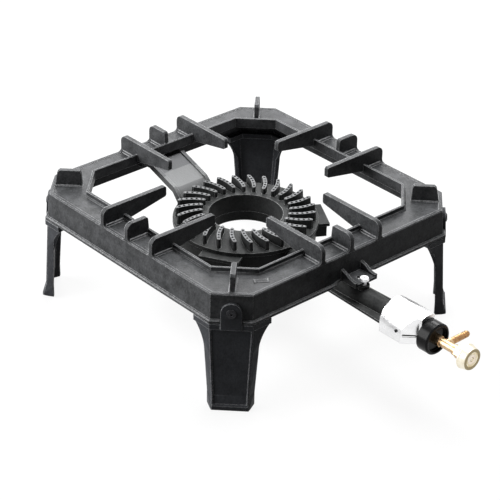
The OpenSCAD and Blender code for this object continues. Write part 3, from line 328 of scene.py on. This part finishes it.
# Runs a tree with the sizes given and keeps what it makes as a plain mesh that rides on a body
def growPiece(name, tree, sizes, look, body):
    seed = bpy.data.objects.new(name + "Seed", bpy.data.meshes.new(name + "Seed"))
    bpy.context.scene.collection.objects.link(seed)
    modifier = seed.modifiers.new("grow", "NODES")
    modifier.node_group = tree
    for item in tree.interface.items_tree:
        if item.in_out == "INPUT":
            value = looks[look] if item.name == "surface" else sizes[item.name]
            if item.name.endswith("Mm"):
                value = value * mm
            elif item.name.endswith("Deg"):
                value = math.radians(value)
            modifier[item.identifier] = value
    seen = bpy.context.evaluated_depsgraph_get()
    mesh = bpy.data.meshes.new_from_object(seed.evaluated_get(seen))
    mesh.name = name
    # One finish for the whole piece, so every face points to the first slot
    mesh.materials.clear()
    mesh.materials.append(looks[look])
    mesh.polygons.foreach_set("material_index", [0] * len(mesh.polygons))
    seed.modifiers.remove(modifier)
    bpy.data.objects.remove(seed)
    piece = bpy.data.objects.new(name, mesh)
    bpy.context.scene.collection.objects.link(piece)
    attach(piece, body)


# Copies of what it is given, count of them, turned evenly round the stand's upright axis
def aroundAxis(tree, instance, count, firstTurn):
    index = addNode(tree, "GeometryNodeInputIndex").outputs[0]
    step = addNode(tree, "ShaderNodeMath", {"operation": "DIVIDE", 0: 2 * math.pi}, {1: count})
    turn = addNode(tree, "ShaderNodeMath", {"operation": "MULTIPLY_ADD"},
                   {0: index, 1: step.outputs[0], 2: firstTurn})
    facing = addNode(tree, "ShaderNodeCombineXYZ", links={"Z": turn.outputs[0]})
    hub = addNode(tree, "GeometryNodePoints", links={"Count": count})
    ring = addNode(tree, "GeometryNodeInstanceOnPoints",
                   links={"Points": hub.outputs[0], "Instance": instance, "Rotation": facing.outputs[0]})
    return ring.outputs[0]


# The drilled mouths of the gas ports: a fine raised lip round each hole, five along every swept rib.
# A rib follows an arc that starts ribStart from the axis and leans ribLead degrees from the radius
ribStart, ribArc, ribLead = 56.5, 60.0, 8.0
ports = {"ribs": 27, "portsOnRib": 5, "arcRadiusMm": ribArc, "arcDeg": 30.0, "leadDeg": ribLead,
         "firstRibDeg": -1.7, "centreXMm": ribStart - ribArc * math.sin(math.radians(ribLead)),
         "centreYMm": ribArc * math.cos(math.radians(ribLead)), "topMm": 129.5, "lipRadiusMm": 1.66,
         "lipThickMm": 0.18}
# A near-black ring between the drilled hole and its lip: painted shade at the mouth of each port
portShade = {**ports, "topMm": 129.4, "lipRadiusMm": 1.2, "lipThickMm": 0.3}


def makePortLips():
    tree, given = newTree("portLips", ports)
    index = addNode(tree, "GeometryNodeInputIndex").outputs[0]
    middle = addNode(tree, "ShaderNodeMath", {"operation": "ADD", 1: 0.5}, {0: index})
    share = addNode(tree, "ShaderNodeMath", {"operation": "DIVIDE"},
                    {0: middle.outputs[0], 1: given["portsOnRib"]})
    along = addNode(tree, "ShaderNodeMath", {"operation": "MULTIPLY_ADD"},
                    {0: share.outputs[0], 1: given["arcDeg"], 2: given["leadDeg"]})
    sine = addNode(tree, "ShaderNodeMath", {"operation": "SINE"}, {0: along.outputs[0]})
    cosine = addNode(tree, "ShaderNodeMath", {"operation": "COSINE"}, {0: along.outputs[0]})
    back = addNode(tree, "ShaderNodeMath", {"operation": "MULTIPLY", 1: -1.0}, {0: given["arcRadiusMm"]})
    acrossX = addNode(tree, "ShaderNodeMath", {"operation": "MULTIPLY_ADD"},
                      {0: sine.outputs[0], 1: given["arcRadiusMm"], 2: given["centreXMm"]})
    acrossY = addNode(tree, "ShaderNodeMath", {"operation": "MULTIPLY_ADD"},
                      {0: cosine.outputs[0], 1: back.outputs[0], 2: given["centreYMm"]})
    place = addNode(tree, "ShaderNodeCombineXYZ",
                    links={"X": acrossX.outputs[0], "Y": acrossY.outputs[0], "Z": given["topMm"]})
    row = addNode(tree, "GeometryNodePoints", links={"Count": given["portsOnRib"]})
    placed = addNode(tree, "GeometryNodeSetPosition",
                     links={"Geometry": row.outputs[0], "Position": place.outputs[0]})
    circle = addNode(tree, "GeometryNodeCurvePrimitiveCircle", {"Resolution": 12},
                     {"Radius": given["lipRadiusMm"]})
    wire = addNode(tree, "GeometryNodeCurvePrimitiveCircle", {"Resolution": 5},
                   {"Radius": given["lipThickMm"]})
    lip = addNode(tree, "GeometryNodeCurveToMesh",
                  links={"Curve": circle.outputs[0], "Profile Curve": wire.outputs[0]})
    onRib = addNode(tree, "GeometryNodeInstanceOnPoints",
                    links={"Points": placed.outputs[0], "Instance": lip.outputs[0]})
    endTree(tree, given, aroundAxis(tree, onRib.outputs[0], given["ribs"], given["firstRibDeg"]))
    growPiece("portLips", tree, ports, "ports", "stand")
    growPiece("portShadeRing", tree, portShade, "portShade", "stand")


makePortLips()
print("stage: port lips")


# A closed section for Z-up curves: a hollow quarter round between its two feet, with its corner sunk into
# the iron. X runs out from the upright face and Y runs down; point 0 is the corner, the rest lie on the arc
def hollowSection(tree, radius, sink):
    arcPoints = 7
    arcStep = math.pi / 2 / (arcPoints - 1)
    index = addNode(tree, "GeometryNodeInputIndex").outputs[0]
    minus = addNode(tree, "ShaderNodeMath", {"operation": "MULTIPLY", 1: -1.0}, {0: radius})
    under = addNode(tree, "ShaderNodeMath", {"operation": "MULTIPLY", 1: -1.0}, {0: sink})
    bend = addNode(tree, "ShaderNodeMath", {"operation": "MULTIPLY_ADD", 1: -arcStep, 2: math.pi + arcStep},
                   {0: index})
    cosine = addNode(tree, "ShaderNodeMath", {"operation": "COSINE"}, {0: bend.outputs[0]})
    sine = addNode(tree, "ShaderNodeMath", {"operation": "SINE"}, {0: bend.outputs[0]})
    across = addNode(tree, "ShaderNodeMath", {"operation": "MULTIPLY_ADD"},
                     {0: cosine.outputs[0], 1: radius, 2: radius})
    down = addNode(tree, "ShaderNodeMath", {"operation": "MULTIPLY_ADD"},
                   {0: sine.outputs[0], 1: radius, 2: minus.outputs[0]})
    arc = addNode(tree, "ShaderNodeCombineXYZ", links={"X": across.outputs[0], "Y": down.outputs[0]})
    corner = addNode(tree, "ShaderNodeCombineXYZ", links={"X": under.outputs[0], "Y": sink})
    first = addNode(tree, "FunctionNodeCompare", {"data_type": "INT", "operation": "EQUAL"}, {2: index})
    choice = addNode(tree, "GeometryNodeSwitch", {"input_type": "VECTOR"},
                     {"Switch": first.outputs[0], "False": arc.outputs[0], "True": corner.outputs[0]})
    circle = addNode(tree, "GeometryNodeCurvePrimitiveCircle", {"Resolution": arcPoints + 1})
    section = addNode(tree, "GeometryNodeSetPosition",
                      links={"Geometry": circle.outputs[0], "Position": choice.outputs[0]})
    return section.outputs[0]


# Concave fillets where the pan supports stand on the deck: one strip on each side of every finger and stub,
# and of every corner fin
fillets = {"sides": 4, "firstSideDeg": 0.0, "stripsOnSide": 6, "pitchMm": 46.5, "thickMm": 6.0,
           "radiusMm": 3.4, "innerMm": 158.6, "outerMm": 186.5, "deckMm": 150.5, "sinkMm": 0.4}
cornerFillets = {**fillets, "firstSideDeg": 45.0, "stripsOnSide": 2, "radiusMm": 2.0, "innerMm": 205.8,
                 "outerMm": 239.0}


def makeSupportFillets():
    tree, given = newTree("supportFillets", fillets)
    section = hollowSection(tree, given["radiusMm"], given["sinkMm"])
    span = addNode(tree, "ShaderNodeMath", {"operation": "SUBTRACT"},
                   {0: given["outerMm"], 1: given["innerMm"]})
    half = addNode(tree, "ShaderNodeMath", {"operation": "MULTIPLY", 1: 0.5}, {0: span.outputs[0]})
    back = addNode(tree, "ShaderNodeMath", {"operation": "MULTIPLY", 1: -1.0}, {0: half.outputs[0]})
    start = addNode(tree, "ShaderNodeCombineXYZ", links={"X": half.outputs[0]})
    end = addNode(tree, "ShaderNodeCombineXYZ", links={"X": back.outputs[0]})
    line = addNode(tree, "GeometryNodeCurvePrimitiveLine",
                   links={"Start": start.outputs[0], "End": end.outputs[0]})
    upright = addNode(tree, "GeometryNodeSetCurveNormal", {"mode": "Z_UP"}, {"Curve": line.outputs[0]})
    strip = addNode(tree, "GeometryNodeCurveToMesh", {"Fill Caps": True},
                    {"Curve": upright.outputs[0], "Profile Curve": section})
    # Strip i stands by support i // 2, on its left side where i is even and turned half round on its right
    index = addNode(tree, "GeometryNodeInputIndex").outputs[0]
    pair = addNode(tree, "ShaderNodeMath", {"operation": "MULTIPLY", 1: 0.5}, {0: index})
    support = addNode(tree, "ShaderNodeMath", {"operation": "FLOOR"}, {0: pair.outputs[0]})
    hand = addNode(tree, "ShaderNodeMath", {"operation": "MODULO", 1: 2.0}, {0: index})
    # With n strips on a side there are n / 2 supports, and the middle one is number n / 4 - 1 / 2
    halfway = addNode(tree, "ShaderNodeMath", {"operation": "MULTIPLY_ADD", 1: 0.25, 2: -0.5},
                      {0: given["stripsOnSide"]})
    offset = addNode(tree, "ShaderNodeMath", {"operation": "SUBTRACT"},
                     {0: support.outputs[0], 1: halfway.outputs[0]})
    side = addNode(tree, "ShaderNodeMath", {"operation": "SUBTRACT", 0: 0.5}, {1: hand.outputs[0]})
    shift = addNode(tree, "ShaderNodeMath", {"operation": "MULTIPLY"},
                    {0: side.outputs[0], 1: given["thickMm"]})
    across = addNode(tree, "ShaderNodeMath", {"operation": "MULTIPLY_ADD"},
                     {0: offset.outputs[0], 1: given["pitchMm"], 2: shift.outputs[0]})
    middle = addNode(tree, "ShaderNodeMath", {"operation": "ADD"},
                     {0: given["innerMm"], 1: half.outputs[0]})
    place = addNode(tree, "ShaderNodeCombineXYZ",
                    links={"X": middle.outputs[0], "Y": across.outputs[0], "Z": given["deckMm"]})
    about = addNode(tree, "ShaderNodeMath", {"operation": "MULTIPLY", 1: math.pi}, {0: hand.outputs[0]})
    facing = addNode(tree, "ShaderNodeCombineXYZ", links={"Z": about.outputs[0]})
    row = addNode(tree, "GeometryNodePoints",
                  links={"Count": given["stripsOnSide"], "Position": place.outputs[0]})
    oneSide = addNode(tree, "GeometryNodeInstanceOnPoints",
                      links={"Points": row.outputs[0], "Instance": strip.outputs[0],
                             "Rotation": facing.outputs[0]})
    endTree(tree, given, aroundAxis(tree, oneSide.outputs[0], given["sides"], given["firstSideDeg"]))
    growPiece("supportFillets", tree, fillets, "frame", "stand")
    growPiece("cornerFillets", tree, cornerFillets, "frame", "stand")


makeSupportFillets()

# The same hollow on the deck, round the foot of the window's rim
rimFoot = {"sideMm": 318.0, "cornerMm": 40.0, "radiusMm": 2.4, "heightMm": 150.5, "sinkMm": 0.4}


def makeRimFoot():
    tree, given = newTree("rimFoot", rimFoot)
    section = hollowSection(tree, given["radiusMm"], given["sinkMm"])
    square = addNode(tree, "GeometryNodeCurvePrimitiveQuadrilateral",
                     links={"Width": given["sideMm"], "Height": given["sideMm"]})
    eightSided = addNode(tree, "GeometryNodeFilletCurve", {"mode": "POLY", "Count": 1},
                         {"Curve": square.outputs[0], "Radius": given["cornerMm"]})
    lift = addNode(tree, "ShaderNodeCombineXYZ", links={"Z": given["heightMm"]})
    raised = addNode(tree, "GeometryNodeSetPosition",
                     links={"Geometry": eightSided.outputs[0], "Offset": lift.outputs[0]})
    upright = addNode(tree, "GeometryNodeSetCurveNormal", {"mode": "Z_UP"}, {"Curve": raised.outputs[0]})
    loop = addNode(tree, "GeometryNodeCurveToMesh",
                   links={"Curve": upright.outputs[0], "Profile Curve": section})
    endTree(tree, given, loop.outputs[0])
    growPiece("rimFoot", tree, rimFoot, "rimFoot", "stand")


makeRimFoot()
print("stage: cast fillets")

# The foundry's pad on the front deck, left blank: a low plate between two short upright bars.
# Drafted like a casting: each top is easeMm narrower all round than its foot, which is sunk into the deck
pad = {"centre": (-0.1268, -0.1712), "turnDeg": -32.0, "lengthMm": 16.5, "widthMm": 8.0, "highMm": 0.5,
       "barMm": 1.5, "barWidthMm": 9.0, "barHighMm": 1.1, "easeMm": 0.3, "sinkMm": 0.3, "roundMm": 0.2,
       "deckMm": 150.5}


def makeFoundryPad():
    work = bmesh.new()
    bar = (pad["barMm"], pad["barWidthMm"], pad["barHighMm"])
    for middle, (length, width, high) in ((0, (pad["lengthMm"], pad["widthMm"], pad["highMm"])),
                                          (-pad["lengthMm"] / 2, bar), (pad["lengthMm"] / 2, bar)):
        for vert in bmesh.ops.create_cube(work, size=1.0)["verts"]:
            ease = pad["easeMm"] if vert.co.z > 0 else 0.0
            vert.co.x = (middle + vert.co.x * (length - 2 * ease)) * mm
            vert.co.y = vert.co.y * (width - 2 * ease) * mm
            vert.co.z = (high if vert.co.z > 0 else -pad["sinkMm"]) * mm
    bmesh.ops.bevel(work, geom=list(work.edges), offset=pad["roundMm"] * mm, segments=2, affect="EDGES",
                    clamp_overlap=True)
    mesh = bpy.data.meshes.new("foundryPad")
    work.to_mesh(mesh)
    work.free()
    mesh.transform(Matrix.Translation((*pad["centre"], pad["deckMm"] * mm))
                   @ Matrix.Rotation(math.radians(pad["turnDeg"]), 4, "Z"))
    mesh.materials.append(looks["frame"])
    piece = bpy.data.objects.new("foundryPad", mesh)
    bpy.context.scene.collection.objects.link(piece)
    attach(piece, "stand")


makeFoundryPad()
print("stage: foundry pad")

# Screw threads on the ends of the four leg bolts and on the lug's clamp screw, as a fine helical ridge.
# A leg bolt lies level but for the lean of the skirt's cut corner, and the clamp screw stands upright
boltThreads = {"count": 4, "firstDeg": 45.0, "apartDeg": 90.0, "radiusMm": 2.92, "pitchMm": 1.0,
               "lengthMm": 3.0, "outMm": 235.51, "heightMm": 127.26, "leanDeg": -93.92, "ridgeMm": 0.34}
clampThread = {"count": 1, "firstDeg": 270.0, "apartDeg": 0.0, "radiusMm": 2.92, "pitchMm": 1.0,
               "lengthMm": 5.6, "outMm": 212.5, "heightMm": 110.2, "leanDeg": 0.0, "ridgeMm": 0.34}


def makeThreads():
    tree, given = newTree("screwThreads", boltThreads)
    turns = addNode(tree, "ShaderNodeMath", {"operation": "DIVIDE"},
                    {0: given["lengthMm"], 1: given["pitchMm"]})
    helix = addNode(tree, "GeometryNodeCurveSpiral", {"Resolution": 20},
                    {"Rotations": turns.outputs[0], "Start Radius": given["radiusMm"],
                     "End Radius": given["radiusMm"], "Height": given["lengthMm"]})
    ridge = addNode(tree, "GeometryNodeCurvePrimitiveCircle", {"Resolution": 4},
                    {"Radius": given["ridgeMm"]})
    thread = addNode(tree, "GeometryNodeCurveToMesh", {"Fill Caps": True},
                     {"Curve": helix.outputs[0], "Profile Curve": ridge.outputs[0]})
    index = addNode(tree, "GeometryNodeInputIndex").outputs[0]
    angle = addNode(tree, "ShaderNodeMath", {"operation": "MULTIPLY_ADD"},
                    {0: index, 1: given["apartDeg"], 2: given["firstDeg"]})
    cosine = addNode(tree, "ShaderNodeMath", {"operation": "COSINE"}, {0: angle.outputs[0]})
    sine = addNode(tree, "ShaderNodeMath", {"operation": "SINE"}, {0: angle.outputs[0]})
    acrossX = addNode(tree, "ShaderNodeMath", {"operation": "MULTIPLY"},
                      {0: cosine.outputs[0], 1: given["outMm"]})
    acrossY = addNode(tree, "ShaderNodeMath", {"operation": "MULTIPLY"},
                      {0: sine.outputs[0], 1: given["outMm"]})
    place = addNode(tree, "ShaderNodeCombineXYZ",
                    links={"X": acrossX.outputs[0], "Y": acrossY.outputs[0], "Z": given["heightMm"]})
    facing = addNode(tree, "ShaderNodeCombineXYZ", links={"Y": given["leanDeg"], "Z": angle.outputs[0]})
    spots = addNode(tree, "GeometryNodePoints",
                    links={"Count": given["count"], "Position": place.outputs[0]})
    ring = addNode(tree, "GeometryNodeInstanceOnPoints",
                   links={"Points": spots.outputs[0], "Instance": thread.outputs[0],
                          "Rotation": facing.outputs[0]})
    endTree(tree, given, ring.outputs[0])
    growPiece("boltThreads", tree, boltThreads, "blackSteel", "stand")
    growPiece("clampThread", tree, clampThread, "brightSteel", "stand")


makeThreads()
print("stage: threads")


# ambient is the light that the room gives the object; veil is how much of the floor is plain white
studio = {"floorSize": 14.0, "floorHex": "#fafafa", "bounceHex": "#484848", "floorRoughness": 0.9,
          "ambient": 0.02, "veil": 0.88}


# 1 where the backdrop shows white: to the camera, in gloss and through glass
def seenRays(tree):
    path = addNode(tree, "ShaderNodeLightPath")
    first = addNode(tree, "ShaderNodeMath", {"operation": "MAXIMUM"},
                    {0: path.outputs["Is Camera Ray"], 1: path.outputs["Is Glossy Ray"]})
    both = addNode(tree, "ShaderNodeMath", {"operation": "MAXIMUM"},
                   {0: first.outputs[0], 1: path.outputs["Is Transmission Ray"]})
    return both.outputs[0]


def addFloor():
    mesh = bpy.data.meshes.new("studioFloor")
    half = studio["floorSize"] / 2
    corners = [(-half, -half, 0), (half, -half, 0), (half, half, 0), (-half, half, 0)]
    mesh.from_pydata(corners, [], [(0, 1, 2, 3)])
    floor = bpy.data.objects.new("studioFloor", mesh)
    bpy.context.scene.collection.objects.link(floor)
    material, tree, shader = newMaterial("whiteStudioFloor")
    seen = seenRays(tree)
    pale = addNode(tree, "ShaderNodeMix",
                   {"data_type": "RGBA", 6: linearColour(studio["bounceHex"]),
                    7: linearColour(studio["floorHex"])}, {"Factor": seen})
    tree.links.new(pale.outputs[2], shader.inputs["Base Color"])
    shader.inputs["Roughness"].default_value = studio["floorRoughness"]
    shader.inputs["Specular IOR Level"].default_value = 0.0
    share = addNode(tree, "ShaderNodeMath", {"operation": "MULTIPLY", 1: studio["veil"]}, {0: seen})
    glow = addNode(tree, "ShaderNodeEmission", {"Color": (1, 1, 1, 1), "Strength": 1.0})
    mixed = addNode(tree, "ShaderNodeMixShader",
                    links={0: share.outputs[0], 1: shader.outputs[0], 2: glow.outputs[0]})
    output = next(n for n in tree.nodes if n.type == "OUTPUT_MATERIAL")
    tree.links.new(mixed.outputs[0], output.inputs["Surface"])
    mesh.materials.append(material)


def addWorld():
    world = bpy.data.worlds.new("whiteRoom")
    world.use_nodes = True
    bpy.context.scene.world = world
    tree = world.node_tree
    tree.nodes.clear()
    level = addNode(tree, "ShaderNodeMapRange", {"To Min": studio["ambient"], "To Max": 1.0},
                    {"Value": seenRays(tree)})
    background = addNode(tree, "ShaderNodeBackground", {"Color": (1, 1, 1, 1)},
                         {"Strength": level.outputs["Result"]})
    addNode(tree, "ShaderNodeOutputWorld", links={"Surface": background.outputs["Background"]})


lamps = {
    "leftSoftbox": {"place": (-1.6, 1.5, 1.0), "aim": (0, 0, 0.1), "size": (2.4, 2.0), "watts": 95},
    "rearSoftbox": {"place": (1.0, 1.15, 1.05), "aim": (0, -0.1, 0.15), "size": (1.3, 0.8), "watts": 22},
    "overheadSoftbox": {"place": (0.35, 0.1, 1.5), "aim": (0, 0, 0.1), "size": (0.9, 0.9), "watts": 26},
}


def addLamp(name, look):
    lamp = bpy.data.lights.new(name, "AREA")
    lamp.shape = "RECTANGLE"
    lamp.size, lamp.size_y = look["size"]
    lamp.energy = look["watts"]
    holder = bpy.data.objects.new(name, lamp)
    holder.location = look["place"]
    towards = Vector(look["aim"]) - Vector(look["place"])
    holder.rotation_euler = towards.to_track_quat("-Z", "Y").to_euler()
    bpy.context.scene.collection.objects.link(holder)


# lens and sensor are in millimetres, the rest in metres and degrees
shot = {"target": (-0.0907, -0.1106, 0.151), "azimuth": -41.83, "elevation": 30.277, "roll": 1.033,
        "distance": 2.162, "lens": 131.82, "sensor": 36.0, "near": 0.01, "far": 50.0}


def addCamera():
    camera = bpy.data.cameras.new("productCamera")
    camera.lens, camera.sensor_width = shot["lens"], shot["sensor"]
    camera.clip_start, camera.clip_end = shot["near"], shot["far"]
    holder = bpy.data.objects.new("productCamera", camera)
    turn = (Matrix.Rotation(math.radians(shot["azimuth"]), 4, "Z")
            @ Matrix.Rotation(math.radians(90 - shot["elevation"]), 4, "X")
            @ Matrix.Rotation(math.radians(shot["roll"]), 4, "Z"))
    holder.matrix_world = (Matrix.Translation(Vector(shot["target"])) @ turn
                           @ Matrix.Translation((0, 0, shot["distance"])))
    bpy.context.scene.collection.objects.link(holder)
    bpy.context.scene.camera = holder


addFloor()
addWorld()
for name, look in lamps.items():
    addLamp(name, look)
addCamera()
bpy.context.scene.view_settings.view_transform = "Standard"
print("stage: studio, lamps and camera")
